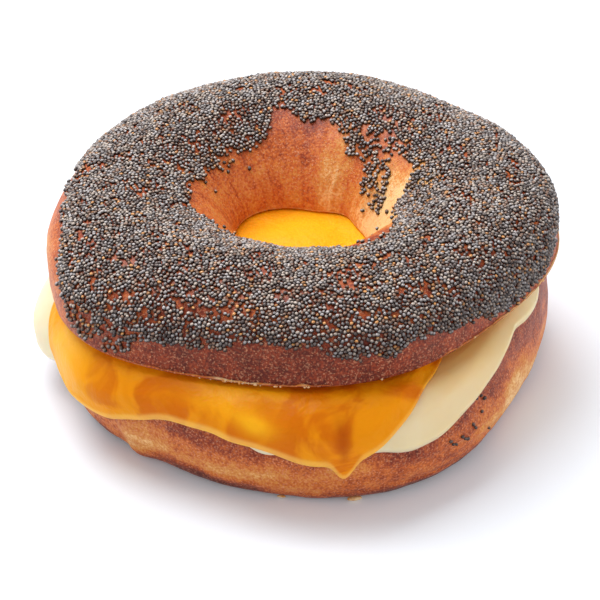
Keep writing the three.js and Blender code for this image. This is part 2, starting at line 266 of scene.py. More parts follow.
def lattice_noise(points, size, seed):
    """Smooth noise from -1 to 1: hashed values at the corners of cubes, blended by a quintic fade."""
    cells = points / size
    corner = np.floor(cells)
    fade = cells - corner
    fade = fade ** 3 * (fade * (fade * 6 - 15) + 10)
    total = np.zeros(points.shape[:-1])
    for step in np.ndindex(2, 2, 2):
        at = (corner + step).astype(np.int64)
        mixed = at[..., 0] * 73856093 ^ at[..., 1] * 19349663 ^ at[..., 2] * 83492791 ^ (seed * 2654435761)
        mixed = ((mixed ^ (mixed >> 15)) * 2246822519) & 0xFFFFFFFF
        mixed ^= mixed >> 13
        weight = np.prod(np.where(np.array(step) == 1, fade, 1 - fade), axis=-1)
        total += weight * (mixed / 2 ** 31 - 1)
    return total


def lumpy(points, height, size, seed):
    """Noise whose height and size are given in mm."""
    return height * MM * lattice_noise(points, size * MM, seed)


def level_noise(points, size, rise, seed):
    """Noise of one size in mm along the level and another up and down."""
    return lattice_noise(points / (MM * np.array([size, size, rise])), 1, seed)


def leaning(dough, x, level):
    """Heights above the lower half's belly lean with the cut: level + slope * x * share of the way up."""
    share = np.clip((level - dough.heel_belly) / (dough.heel_height - dough.heel_belly), 0, 1)
    return level + CUT_SLOPE * x * share


def groups(context):
    """The scene's sizes of the dough, the filling and the seeds, and its colours."""
    return [getattr(context.scene, name) for name in GROUPS]


def cut_reach(dough, bearing):
    """Reach of the lower half's cut face at a bearing."""
    return dough.heel_cut_radius + waves_at(HEEL_WAVES, bearing)


def above_cut(dough, filling, points):
    """Height of points above the upper half's leaning cut."""
    return points[:, 2] - leaning(dough, points[:, 0], dough.heel_height) - filling.filling_height


def stacked(reach, bearing, level, centre=(0, 0)):
    """Points at a reach and bearing from a centre, at a level."""
    x, y = centre[0] + reach * np.cos(bearing), centre[1] + reach * np.sin(bearing)
    return np.stack([x, y, level + 0 * x], -1)


def crown_surface(dough, filling, bearing, along):
    """Upper half as a ring. along runs 0-1 up the side, 1-2 over the shoulder, 2-3 down the funnel, 3-4 out over
    the cut face. Side: an inward quarter arc. Shoulder and funnel: superellipse quarters between the widest
    line, the crest and the hole, reach by cos(a) ** (2 / p) and height by sin(a) ** (2 / p)."""
    section = np.clip(np.floor(along), 0, 3)
    a = QUARTER * (along - section)
    sin_a = np.sin(a)
    cos_a = np.maximum(np.cos(a), 0)
    radius = dough.crown_radius + waves_at(CROWN_WAVES, bearing)
    undercut = dough.crown_undercut + waves_at(UNDERCUT_WAVES, bearing)
    crest = dough.crest_radius * radius / dough.crown_radius
    oval = dough.hole_radius * (1 + HOLE_OVAL * np.cos(2 * (bearing - math.radians(HOLE_OVAL_BEARING))))
    hole = oval + MM * humps(bearing, HOLE_LOBES)
    shoulder, funnel = 2 / SHOULDER_POWER, 2 / FUNNEL_POWER
    sections = [section == k for k in range(4)]
    reach = np.select(sections, [
        radius - undercut * (1 - sin_a),
        mix(crest, radius, cos_a ** shoulder),
        mix(crest, hole, sin_a ** funnel),
        mix(hole, radius - undercut, sin_a),
    ])
    height = np.select(sections, [
        dough.crown_belly * (1 - cos_a),
        mix(dough.crown_belly, dough.crown_height, sin_a ** shoulder),
        dough.crown_height * cos_a ** funnel,
        0 * a,
    ])
    shift = np.select(sections, [0 * a, 0 * a, sin_a ** funnel, 1 - sin_a])
    points = stacked(reach, bearing, height)
    points[..., :2] += FUNNEL_SHIFT * shift[..., None]
    lift = dough.rim_lift * (1 + np.sin(3 * bearing)) * np.minimum(reach / dough.crown_radius, 1) ** 8
    points[..., 2] += leaning(dough, points[..., 0], dough.heel_height) + filling.filling_height + lift
    return points


def heel_surface(dough, bearing, along):
    """Lower half as a ring. along runs 0-1 out over the underside, 1-2 and 2-3 up the side below and above the
    belly, 3-4 in over the cut face, 4-5 and 5-6 down the hole above and below its throat."""
    section = np.clip(np.floor(along), 0, 5)
    a = QUARTER * (along - section)
    sin_a, cos_a, share = np.sin(a), np.cos(a), along - section
    wave = waves_at(HEEL_WAVES, bearing)
    sections = [section == k for k in range(6)]
    reach = np.select(sections, [
        mix(dough.heel_hole_foot, dough.foot_radius + wave, share),
        wave + mix(dough.foot_radius, dough.heel_radius, sin_a),
        wave + mix(dough.heel_cut_radius, dough.heel_radius, cos_a),
        mix(dough.heel_cut_radius + wave, dough.heel_hole_cut, share),
        mix(dough.heel_throat, dough.heel_hole_cut, 1 - sin_a),
        mix(dough.heel_throat, dough.heel_hole_foot, 1 - cos_a),
    ])
    level = np.select(sections, [
        0 * a,
        dough.heel_belly * (1 - cos_a),
        mix(dough.heel_belly, dough.heel_height, sin_a),
        dough.heel_height + 0 * a,
        mix(dough.heel_height, dough.throat_height, share),
        dough.throat_height * (1 - sin_a),
    ])
    hole = np.select(sections, [1 - share, 0 * a, 0 * a, share, 1 + 0 * a, 1 + 0 * a])
    points = stacked(reach, bearing, level, HEEL_CENTRE)
    points[..., :2] += HEEL_HOLE_SHIFT * hole[..., None]
    points[..., 2] = leaning(dough, points[..., 0], points[..., 2])
    return points


def draped(dough, bearing, reach, height, bulge):
    """A sheet lying on the lower half's cut face and hanging down its side. reach is walked along the sheet:
    flat to the cut's rim, then round a quarter ellipse over the shoulder, then straight down."""
    flat = cut_reach(dough, bearing)
    out = (dough.heel_radius - dough.heel_cut_radius + height + bulge)[..., None]
    down = (dough.heel_height - dough.heel_belly + height)[..., None]
    turn = np.linspace(0, QUARTER, 49)
    across = out * np.sin(turn)
    below = down * (1 - np.cos(turn))
    steps = np.hypot(np.diff(across), np.diff(below))
    walked = np.concatenate([np.zeros_like(out), np.cumsum(steps, -1)], -1)
    left = np.clip(reach - flat, 0, None)[..., None]
    last = np.clip((walked <= left).sum(-1, keepdims=True) - 1, 0, 47)
    start, end = (np.take_along_axis(walked, last + k, -1) for k in (0, 1))
    share = np.clip((left - start) / (end - start), 0, 1)
    picked = [mix(np.take_along_axis(v, last, -1), np.take_along_axis(v, last + 1, -1), share)[..., 0]
              for v in (across, below)]
    beyond = np.clip(left[..., 0] - walked[..., -1], 0, None)
    points = stacked(np.minimum(reach, flat) + picked[0], bearing, 0, HEEL_CENTRE)
    level = dough.heel_height + height - picked[1] - beyond
    points[..., 2] = leaning(dough, points[..., 0], level)
    return points


def slice_reach(filling, bearing):
    """Reach of the square slice at a bearing: a soft minimum over its four sides and the melt limit, with lobes."""
    off = bearing - filling.slice_bearing
    sides = [
        np.cos(off) / filling.slice_front,
        np.sin(off) / filling.slice_right,
        -np.sin(off) / (filling.slice_side - filling.slice_right),
        -np.cos(off) / (filling.slice_side - filling.slice_front),
        1 / (filling.melt_reach - filling.melt_lean * np.sin(off)),
    ]
    power = SLICE_CORNER_POWER
    nearest = sum(np.maximum(side * MM, 0) ** power for side in sides) ** (-1 / power) * MM
    return nearest + MM * humps(bearing, SLICE_LOBES)


def white_reach(filling, bearing):
    """Reach of the white layer at a bearing: a shifted circle with humps and hollows."""
    lean = filling.white_shift * np.cos(bearing - math.radians(WHITE_SHIFT_BEARING))
    return filling.white_reach + lean + MM * humps(bearing, WHITE_LOBES)


def frame_offset(dough):
    """From the formulas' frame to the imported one: the lower half's box there less its box in the formulas."""
    low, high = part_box("heel")
    bearing, along = np.meshgrid(TURN * np.arange(48) / 48, 1 + np.arange(10) / 5)
    points = heel_surface(dough, bearing, along)[..., :2].reshape(-1, 2)
    middle = (points.min(0) + points.max(0)) / 2
    return np.array([(low.x + high.x) / 2 - middle[0], (low.y + high.y) / 2 - middle[1], 0.0])


def ring_triangles(rows, columns):
    """Triangles of a grid that closes on itself both ways."""
    row, column = np.meshgrid(np.arange(rows), np.arange(columns), indexing="ij")
    a = row * columns + column
    b = row * columns + (column + 1) % columns
    c = (row + 1) % rows * columns + (column + 1) % columns
    d = (row + 1) % rows * columns + column
    return np.concatenate([np.stack([a, b, c], -1).reshape(-1, 3), np.stack([a, c, d], -1).reshape(-1, 3)])


def sheet_triangles(rows, columns):
    """Triangles of a closed sheet: rows of columns round it, and a pole after them at each end."""
    row, column = np.meshgrid(np.arange(rows - 1), np.arange(columns), indexing="ij")
    a = row * columns + column
    b = row * columns + (column + 1) % columns
    beyond = b + columns
    body = [np.stack(face, -1).reshape(-1, 3) for face in ([a, b, beyond], [a, beyond, a + columns])]
    first = np.arange(columns)
    after = (first + 1) % columns
    last = (rows - 1) * columns
    start = np.stack([after, first, np.full(columns, rows * columns)], -1)
    end = np.stack([last + first, last + after, np.full(columns, rows * columns + 1)], -1)
    return np.concatenate([*body, start, end])


def point_normals(points, triangles):
    """Area-weighted normals of a closed triangle mesh."""
    a, b, c = (points[triangles[:, k]] for k in range(3))
    face = np.cross(b - a, c - a)
    total = np.zeros_like(points)
    for k in range(3):
        for axis in range(3):
            total[:, axis] += np.bincount(triangles[:, k], face[:, axis], len(points))
    return total / np.maximum(np.linalg.norm(total, axis=1, keepdims=True), 1e-20)


def new_piece(name, points, triangles, material, replaced=(), values=None):
    """A smooth-shaded mesh object that rides on the bagel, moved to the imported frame, with point attributes."""
    points = points + frame_offset(bpy.context.scene.bagel_dough)
    mesh = bpy.data.meshes.new(name)
    mesh.vertices.add(len(points))
    mesh.vertices.foreach_set("co", np.ascontiguousarray(points, np.float32).ravel())
    mesh.loops.add(triangles.size)
    mesh.loops.foreach_set("vertex_index", np.ascontiguousarray(triangles, np.int32).ravel())
    mesh.polygons.add(len(triangles))
    mesh.polygons.foreach_set("loop_start", np.arange(len(triangles), dtype=np.int32) * 3)
    mesh.polygons.foreach_set("use_smooth", np.ones(len(triangles), bool))
    mesh.update()
    mesh.validate()
    for key, value in (values or {}).items():
        attribute = mesh.attributes.new(key, "FLOAT", "POINT")
        attribute.data.foreach_set("value", value.astype(np.float32).ravel())
    mesh.materials.append(material)
    piece = bpy.data.objects.new(name, mesh)
    bpy.context.scene.collection.objects.link(piece)
    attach(piece, "root")
    if replaced:
        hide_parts(*replaced)
    return piece


class Skin:
    """A node material whose patterns follow object coordinates, their sizes given in mm."""

    def __init__(self, name):
        self.material = bpy.data.materials.new(name)
        self.material.use_nodes = True
        self.tree = self.material.node_tree
        self.tree.nodes.clear()
        self.place = self.node("ShaderNodeTexCoord").outputs["Object"]

    def node(self, kind, inputs=None, **settings):
        """Adds a shader node, sets its properties, and fills or links its inputs."""
        node = self.tree.nodes.new(kind)
        for key, value in settings.items():
            setattr(node, key, value)
        for key, value in (inputs or {}).items():
            if isinstance(value, NodeSocket):
                self.tree.links.new(value, node.inputs[key])
            else:
                node.inputs[key].default_value = value
        return node

    def attribute(self, name):
        """A point attribute of the mesh."""
        return self.node("ShaderNodeAttribute", attribute_name=name).outputs["Fac"]

    def math(self, operation, *values):
        """One sum or product of values."""
        return self.node("ShaderNodeMath", dict(enumerate(values)), operation=operation).outputs[0]

    def blend(self, share, first, second):
        """Colour mix of two colours or sockets by a share from 0 to 1."""
        return self.node("ShaderNodeMix", {0: share, 6: first, 7: second}, data_type="RGBA").outputs[2]

    def remap(self, value, low, high, to_low=0.0, to_high=1.0):
        """Clamped smooth remap of a value."""
        inputs = {"Value": value, "From Min": low, "From Max": high, "To Min": to_low, "To Max": to_high}
        return self.node("ShaderNodeMapRange", inputs, interpolation_type="SMOOTHSTEP").outputs["Result"]

    def noise(self, size, detail=2.0, distortion=0.0):
        """Noise with features of that size."""
        inputs = {"Vector": self.place, "Scale": 1 / (size * MM), "Detail": detail, "Distortion": distortion}
        return self.node("ShaderNodeTexNoise", inputs).outputs["Fac"]

    def cells(self, size, **settings):
        """Voronoi cells of that size."""
        inputs = {"Vector": self.place, "Scale": 1 / (size * MM)}
        return self.node("ShaderNodeTexVoronoi", inputs, **settings).outputs

    def bump(self, height, strength, depth):
        """Normals of a relief of that depth."""
        inputs = {"Height": height, "Strength": strength, "Distance": depth * MM}
        return self.node("ShaderNodeBump", inputs).outputs["Normal"]

    def finish(self, inputs):
        """The material, its surface a principled shader with these inputs."""
        shader = self.node("ShaderNodeBsdfPrincipled", inputs)
        self.node("ShaderNodeOutputMaterial", {"Surface": shader.outputs["BSDF"]})
        return self.material


def scatter(weight, radius, depth):
    """Light let in under a surface: how much, how far for red, green and blue, and its scale in mm."""
    return {"Subsurface Weight": weight, "Subsurface Radius": radius, "Subsurface Scale": depth * MM}


def baked_crust(name, colours):
    """Wheat dough, boiled and then baked: a taut, faintly glossy skin with tiny pale blisters, whose colour
    goes with the bake attribute from pale gold to dark red-brown. The crumb attribute shows torn bread."""
    skin = Skin(name)
    crumb = skin.attribute("crumb")
    mottle = skin.remap(skin.noise(3.2, 5.0, 0.4), 0.3, 0.7, -0.09, 0.09)
    grain = skin.remap(skin.noise(0.55), 0.25, 0.75, -0.14, 0.14)
    level = skin.math("ADD", skin.math("ADD", skin.attribute("bake"), mottle), grain)
    ramp = skin.node("ShaderNodeValToRGB", {"Fac": level})
    stops = (colours.crust_pale, colours.crust_golden, colours.crust_tan, colours.crust_red, colours.crust_dark)
    while len(ramp.color_ramp.elements) < len(stops):
        ramp.color_ramp.elements.new(0.5)
    for index, (element, stop) in enumerate(zip(ramp.color_ramp.elements, stops)):
        element.position = index / (len(stops) - 1)
        element.color = stop
    # Blisters of 0.3 mm stand about 0.6 mm apart and catch the light
    spots = skin.cells(0.6)
    chosen = skin.remap(spots["Color"], 0.25, 0.55)
    blister = skin.math("MULTIPLY", skin.remap(spots["Distance"], 0.1, 0.34, 1.0, 0.0), chosen)
    flecks = skin.remap(skin.noise(0.5), 0.54, 0.68, 0.0, 0.34)
    speck = skin.math("MULTIPLY_ADD", blister, 0.5, flecks)
    crust = skin.blend(speck, ramp.outputs["Color"], colours.speck)
    bread = skin.blend(skin.remap(skin.noise(1.1, 3.0), 0.35, 0.65), colours.crust_golden, colours.crumb)
    relief = skin.math("ADD", skin.noise(0.45, 3.0), blister)
    return skin.finish({
        "Base Color": skin.blend(crumb, crust, bread), "Roughness": skin.remap(crumb, 0.2, 0.8, 0.46, 0.85),
        "Normal": skin.bump(relief, 0.55, 0.16), "Specular IOR Level": 0.24,
        **scatter(0.06, (1.0, 0.4, 0.15), 1.2),
    })


def melted_cheese(colours):
    """Processed orange cheese, melted and set again: smooth and waxy, letting light a few millimetres in,
    paler where its edge thins out. Painted light makes it yellower in the top-lit hole and in highlight
    patches, and painted shade darkens the crease above the drip."""
    skin = Skin("processed_cheese_melted")
    clouds = skin.remap(skin.noise(11, 3.0, 1.2), 0.4, 0.6)
    tint = skin.blend(clouds, colours.cheese_deep, colours.cheese)
    # Painted light and shade laid on by attribute: the lit hole and highlight patches, the crease above the drip,
    # and the pale rim
    shades = {"well": colours.cheese_lit, "fold_shade": colours.cheese_fold_shade, "edge": colours.cheese_pale}
    for name, shade in shades.items():
        tint = skin.blend(skin.attribute(name), tint, shade)
    relief = skin.math("MULTIPLY_ADD", skin.noise(0.7, 1.0), 0.12, skin.noise(7.0, 3.0, 0.6))
    return skin.finish({
        "Base Color": tint, "Roughness": 0.42, "Normal": skin.bump(relief, 0.6, 1.6),
        "Specular IOR Level": 0.08, **scatter(0.3, (1.0, 0.42, 0.06), 2.2),
    })


def soft_white(colours):
    """Cooked egg white or mild white cheese: dense, moist and milky, with faint creamy clouds and a satin skin."""
    skin = Skin("white_layer_moist")
    milky = skin.blend(skin.remap(skin.noise(9, 3.0), 0.3, 0.7), colours.white, colours.white_cloud)
    return skin.finish({
        # Tan by attribute: partly stained, partly painted shade at the right and under the upper half's rim
        "Base Color": skin.blend(skin.attribute("stain_and_shade"), milky, colours.white_stain_and_shade), "Roughness": 0.42,
        "Normal": skin.bump(skin.noise(3.0, 3.0), 0.3, 0.4), "IOR": 1.4, **scatter(0.6, (1.0, 0.75, 0.4), 3.5),
    })


def seed_skin(name, colours, light):
    """Ripe poppy seed: a hard dull skin netted with ridges about 0.15 mm apart, drawn at 0.25 mm so that it
    shows, with painted light and shade: pale on the side facing up toward the lights, near black on the side
    pressed to the crust."""
    skin = Skin(name)
    ridge = skin.remap(skin.cells(0.25, feature="DISTANCE_TO_EDGE")["Distance"], 0.0, 0.22, 1.0, 0.0)
    bare = skin.blend(skin.remap(skin.attribute("tint"), 0, 1, 0.04, 0.55), light, colours.seed_shade)
    # Painted light and shade: the seed's pale tone on the side facing the lights, near black on the side away from
    # them
    body = skin.blend(skin.remap(skin.attribute("lit_side"), 0.5, 1.0), colours.seed_shade, bare)
    return skin.finish({
        "Base Color": body, "Roughness": 0.3, "Normal": skin.bump(ridge, 0.5, 0.05), "IOR": 1.5,
    })


def torn_crumb(colours):
    """Bread torn along a cut: matt, pale, open crumb, browned at its tips."""
    skin = Skin("bread_crumb_torn")
    tint = skin.blend(skin.remap(skin.noise(0.9, 3.0), 0.35, 0.65), colours.crust_golden, colours.crumb)
    return skin.finish({
        "Base Color": tint, "Roughness": 0.8, "Normal": skin.bump(skin.noise(0.3), 0.6, 0.1),
        **scatter(0.15, (1.0, 0.7, 0.4), 1.0),
    })


def paper_white():
    """Matt white paper, faintly clouded, with a slight glow of its own."""
    skin = Skin("paper_white_matt")
    return skin.finish({
        "Base Color": skin.blend(skin.noise(60), linear("#eef3fb"), linear("#f0f5fc")), "Roughness": 0.8,
        "Emission Color": (0.9, 0.95, 1, 1), "Emission Strength": 0.09,
    })


def seed_floor(bearing):
    """Height above the cut where seeds begin: 7 mm, more at the left and front, none at two places between."""
    return MM * (7 + humps(bearing, SEED_FLOOR))


def funnel_limit(bearing):
    """How far down the funnel seeds go, as a part of it: less at the back and front right, more at the right."""
    return 0.5 + humps(bearing, FUNNEL_LIMIT)


def bare_wedge(bearing, along):
    """1 on a slanting strip of the funnel at the right that carries no seeds, else 0."""
    off = (np.degrees(bearing) - 16 + 90 * (along - 2.45) + 180) % 360 - 180
    return (np.abs(off) < 10) & (along > 2.36)


def crown_relief(points, normals, bearing, along):
    """Relief of the upper half along its normals: slow lumps, fine dough texture, wrinkles down the funnel
    and an open crumb on the cut face."""
    lumps = lumpy(points, 0.35, 17, 1) + lumpy(points, 0.14, 6, 2)
    fine = lumpy(points, 0.05, 1.6, 3)
    in_funnel = smooth(along, 2.15, 2.4) * (1 - smooth(along, 2.8, 2.98))
    folds = stacked(1, bearing, 0.1 * along)
    wrinkles = in_funnel * MM * (0.22 * lattice_noise(folds, 0.16, 4) + 0.1 * lattice_noise(folds, 0.06, 5))
    cut = smooth(along, 3.02, 3.06)
    pores = lumpy(points, 0.3, 2.2, 6) - 0.25 * MM
    rim = smooth(along, 0.0, 0.25) * (1 - smooth(along, 2.85, 2.99) * (1 - cut))
    return points + normals * ((lumps + fine) * rim * (1 - cut) + wrinkles + pores * cut)[:, None]


def crown_bake(points, bearing, along, height):
    """How well baked the upper half's crust is, from 0 to 1: by height in mm outside, by depth in the funnel.
    Painted shade darkens the front of the band; painted light pales the left rim and the hole's right wall.
    """
    bake = mix(0.7, 0.68 + humps(bearing, BAND_BAKE_AND_LIGHT), 1 - smooth(height, 8, 15))
    wall = 0.74 - 0.3 * smooth(along, 2.22, 2.72) + humps(bearing, WALL_BAKE_AND_LIGHT)
    wall += 0.09 * lattice_noise(stacked(1, bearing, 0.05 * along), 0.035, 9)
    bake = mix(bake, wall, smooth(along, 2.12, 2.3))
    return bake + 0.06 * lattice_noise(points, 11 * MM, 7)


def ring_grid(parts, columns):
    """Bearings, places along the outline and triangles of a closed ring, with a number of rows for each part."""
    along = np.concatenate([k + np.arange(rows) / rows for k, rows in enumerate(parts)])
    along, bearing = [v.ravel() for v in np.meshgrid(along, TURN * np.arange(columns) / columns, indexing="ij")]
    return bearing, along, ring_triangles(sum(parts), columns)


class BAGEL_OT_crown(Operator):
    """Make the upper half: an uneven ring of crust with a funnel for a hole and a cut face of crumb."""
    bl_idname = "bagel.crown"
    bl_label = "Upper half"

    def execute(self, context):
        dough, filling, _, colours = groups(context)
        bearing, along, triangles = ring_grid((14, 62, 64, 30), 460)
        points = crown_surface(dough, filling, bearing, along)
        shaped = crown_relief(points, point_normals(points, triangles), bearing, along)
        height = above_cut(dough, filling, points) / MM
        rim = np.where(along < 2, height, ABOVE_TEARS)
        torn = humps(bearing, TORN_RIM) - 0.35
        ragged = torn + 0.3 * lattice_noise(points, 1.5 * MM, 8)
        clean = smooth(along, 3.82, 3.9) * (1 - smooth(torn, -0.3, 0.2))
        crumb = np.maximum(smooth(along, 2.97, 3.0) * (1 - clean), 1 - smooth(rim, ragged, ragged + 0.25))
        values = {"bake": crown_bake(points, bearing, along, height), "crumb": crumb}
        material = baked_crust("wheat_crust_upper", colours)
        new_piece("crown_crust", shaped, triangles, material, ("crown",), values)
        return {"FINISHED"}


def heel_relief(points, normals, bearing, along):
    """Relief of the lower half along its normals: lumps, level wrinkles round the side, a step where the dough
    overlaps itself at the left, a hollow above a ridge at the right, and crumb on the cut face."""
    side = smooth(along, 0.98, 1.15) * (1 - smooth(along, 2.9, 3.0))
    height = points[:, 2] / MM
    degrees = np.degrees(bearing) % 360
    wrinkles = 0.22 * lattice_noise(stacked(0.9, bearing, height / 3), 0.35, 13)
    wrinkles *= smooth(height, 1, 4) * (1 - smooth(height, 12, 16))
    overlap = 0.5 * smooth(degrees + 0.25 * height, 221.5, 223.2) * (1 - smooth(degrees, 223.5, 229))
    overlap += humps(bearing, HEEL_GROOVES)
    streaks = 0.09 * level_noise(points, 11, 1.3, 18)
    hollow = 0.9 * hump(bearing, 322, 22) * bell(height, 17, 4)
    ridge = 0.5 * hump(bearing, 322, 24) * bell(height, 9, 3)
    lumps = lumpy(points, 0.3, 15, 11) + lumpy(points, 0.16, 5, 12) + lumpy(points, 0.04, 1.4, 15)
    crust = side * (lumps + MM * (wrinkles + overlap - hollow + ridge + streaks))
    cut = smooth(along, 3.02, 3.08) * (1 - smooth(along, 3.94, 3.99))
    pores = lumpy(points, 0.45, 2.4, 14) - 0.3 * MM
    return points + normals * (crust + pores * cut)[:, None]


def heel_bake(points, bearing, along):
    """How well baked the lower half's crust is: dark at the foot and under the filling, golden between, and
    paler low on the right side as painted light.
    """
    height = points[:, 2] / MM + 2.0 * lattice_noise(points, 12 * MM, 16)
    foot, upper = 1 - smooth(height, 1.0, 5.5), smooth(height, 9, 14)
    bake = 0.41 + 0.58 * foot + 0.35 * upper + humps(bearing, HEEL_BAKE)
    bake += 0.22 * hump(bearing, 303, 18) * (1 - upper)
    # Painted light: paler low on the right side, which the lights hardly reach
    bake -= 0.3 * hump(bearing, 335, 22) * (1 - smooth(height, 12, 18))
    bake += 0.08 * lattice_noise(points, 7 * MM, 17) + 0.11 * level_noise(points, 15, 1.5, 19)
    under, wall = 1 - smooth(along, 0.85, 1.0), smooth(along, 4.0, 4.2)
    return mix(mix(bake, 0.62, under), 0.4, wall)


class BAGEL_OT_heel(Operator):
    """Make the lower half: a bulging ring of crust, flat underneath, with a cut face of crumb."""
    bl_idname = "bagel.heel"
    bl_label = "Lower half"

    def execute(self, context):
        dough, _, _, colours = groups(context)
        bearing, along, triangles = ring_grid((26, 40, 44, 36, 12, 16), 450)
        points = heel_surface(dough, bearing, along)
        shaped = heel_relief(points, point_normals(points, triangles), bearing, along)
        shaped[:, 2] = np.maximum(shaped[:, 2], 0)
        crumb = smooth(along, 2.97, 3.0) * (1 - smooth(along, 4.0, 4.15))
        values = {"bake": heel_bake(points, bearing, along), "crumb": crumb}
        material = baked_crust("wheat_crust_lower", colours)
        new_piece("heel_crust", shaped, triangles, material, ("heel",), values)
        return {"FINISHED"}


def sheet_grid(dough, reach_at, columns, flat_rows, hanging_rows, edge_rows):
    """Rows of a closed sheet from its middle underneath, round its edge and back on top. Gives for each point its
    bearing, its reach and its share of the way from the underside to the top. The edge is a half circle."""
    bearing = TURN * np.arange(columns) / columns
    whole = reach_at(bearing)
    turn = np.minimum(cut_reach(dough, bearing) - MM, 0.85 * whole)
    flat = turn * (np.arange(1, flat_rows + 1) / flat_rows)[:, None]
    hanging = mix(turn, whole, ((np.arange(1, hanging_rows + 1) / hanging_rows) ** 1.1)[:, None])
    out = np.concatenate([flat, hanging])
    arc = np.arange(1, edge_rows) / edge_rows * math.pi
    edge = whole + 0.4 * MM * np.sin(arc)[:, None]
    reach = np.concatenate([out, edge, out[::-1]])
    rise = (1 - np.cos(arc)) / 2
    share = np.concatenate([np.zeros(len(out)), rise, np.ones(len(out))])[:, None] + 0 * reach
    return np.broadcast_to(bearing, reach.shape), reach, share


def add_sheet(name, grid, point_on, material, node, values_on):
    """A closed sheet from its grid, with its two poles, and attributes worked out from the grid."""
    bearing, reach, share = grid
    poles = [point_on(*(np.array([v]) for v in (0.0, 0.0, top)))[0] for top in (0.0, 1.0)]
    points = np.concatenate([point_on(bearing, reach, share).reshape(-1, 3), poles])
    values = {k: np.concatenate([v.ravel(), [0.0, 0.0]]) for k, v in values_on(bearing, reach).items()}
    new_piece(name, points, sheet_triangles(*reach.shape), material, (node,), values)


def uneven_edge(reach_of, filling, height, size, seed):
    """An edge's reach at a bearing, made uneven by noise round the ring: its height in mm, its size as a part."""
    def edge_at(bearing):
        return reach_of(filling, bearing) + height * MM * lattice_noise(stacked(1, bearing, 0), size, seed)
    return edge_at


def flap_bulge(filling, bearing):
    """How far sheets stand out over the white layer's flap at the left."""
    return filling.flap_bulge * hump(bearing, 178, 14, 4)


class BAGEL_OT_cheese(Operator):
    """Make the melted cheese: a square sheet draped over the front, well up in the hole, thin at its edge."""
    bl_idname = "bagel.cheese"
    bl_label = "Cheese slice"

    def execute(self, context):
        dough, filling, _, colours = groups(context)
        edge_at = uneven_edge(slice_reach, filling, 0.7, 0.14, 21)

        def point_on(bearing, reach, share):
            beyond = smooth(reach - white_reach(filling, bearing), 1 * MM, 6 * MM)
            base = filling.layer_gap + mix(filling.white_thickness + filling.layer_gap, filling.white_edge, beyond)
            thin = smooth(edge_at(bearing) - reach, 0, 4 * MM)
            body = mix(filling.slice_edge * (1 - 0.5 * hump(bearing, 308, 22)), filling.slice_thickness, thin)
            bulge = flap_bulge(filling, bearing) + filling.slice_slack + MM * humps(bearing, SLICE_RIPPLES)
            points = draped(dough, bearing, reach, base + share * body, bulge)
            hole = np.hypot(*(points[..., :2] - FUNNEL_SHIFT).T).T / (9 * MM)
            points[..., 2] += share * filling.hole_bulge * np.maximum(1 - hole ** 2, 0)
            return points

        def values_on(bearing, reach):
            inward = (edge_at(bearing) - reach) / MM
            rim = 1 - smooth(inward, -0.2, 0.5)
            middle = smooth(inward, 1, 4) * (1 - smooth(inward, 11, 16))
            # Painted highlights: a soft patch low on the front, a broad one across the middle front and one at the
            # left corner, joined with the top-lit hole
            highlight_spot = 0.9 * hump(bearing, 258, 4) * bell(inward, 3, 2) + 0.5 * hump(bearing, 250, 11) * middle
            light = np.maximum(0.8 * hump(bearing, 203, 13) * smooth(reach, 50 * MM, 56 * MM), highlight_spot)
            well = np.clip(np.maximum(1 - smooth(reach, 14 * MM, 24 * MM), light), 0, 1)
            # Painted shade in the crease above the drip
            fold_shade = 0.75 * smooth(inward, 1.5, 4) * (1 - smooth(inward, 7, 13)) * hump(bearing, 276.6, 1.7)
            # Pale thin rim, partly its own colour and partly painted highlight, weaker at the right, plus a painted
            # highlight patch at the left corner
            edge = 0.5 * rim * (1 - 0.8 * hump(bearing, 310, 26)) + 0.35 * middle * hump(bearing, 203, 6)
            return {"edge": edge, "well": well, "fold_shade": fold_shade}

        grid = sheet_grid(dough, edge_at, 540, 26, 46, 8)
        material = melted_cheese(colours)
        add_sheet("cheese_melted", grid, point_on, material, "cheddar_slice", values_on)
        return {"FINISHED"}


class BAGEL_OT_white(Operator):
    """Make the white layer: a soft round sheet that hangs out at the right and in a flap at the left."""
    bl_idname = "bagel.white"
    bl_label = "White layer"

    def execute(self, context):
        dough, filling, _, colours = groups(context)
        edge_at = uneven_edge(white_reach, filling, 0.6, 0.12, 31)

        def point_on(bearing, reach, share):
            alone = smooth(reach - slice_reach(filling, bearing), 1.5 * MM, 4 * MM)
            flat = cut_reach(dough, bearing)
            alone *= 1 - smooth(reach, flat - 6 * MM, flat)
            height = filling.white_thickness + filling.white_alone * alone
            body = mix(filling.white_edge, height, smooth(edge_at(bearing) - reach, 0, 5 * MM))
            bulge = flap_bulge(filling, bearing) + filling.white_slack
            return draped(dough, bearing, reach, filling.layer_gap + share * body, bulge)

        def values_on(bearing, reach):
            over_rim = (reach - cut_reach(dough, bearing)) / MM
            # Tan just outside the cut rim at the right, under the upper half, and broadly on the right side: partly
            # stained, partly painted shade
            browned = 0.5 * (1 - smooth(over_rim, -2, 6)) * hump(bearing, 305, 30)
            return {"stain_and_shade": browned + 0.44 * hump(bearing, 322, 36)}

        grid = sheet_grid(dough, edge_at, 480, 22, 42, 8)
        material = soft_white(colours)
        add_sheet("white_layer_soft", grid, point_on, material, "white_layer", values_on)
        return {"FINISHED"}


def surface_frame(surface, bearing, along):
    """Point, step along the bearing, step along the outline, and unit normal of a surface at each place."""
    step = 1e-3
    point = surface(bearing, along)
    across = (surface(bearing + step, along) - point) / step
    up = (surface(bearing, along + step) - point) / step
    return point, across, up, unit(np.cross(across, up))


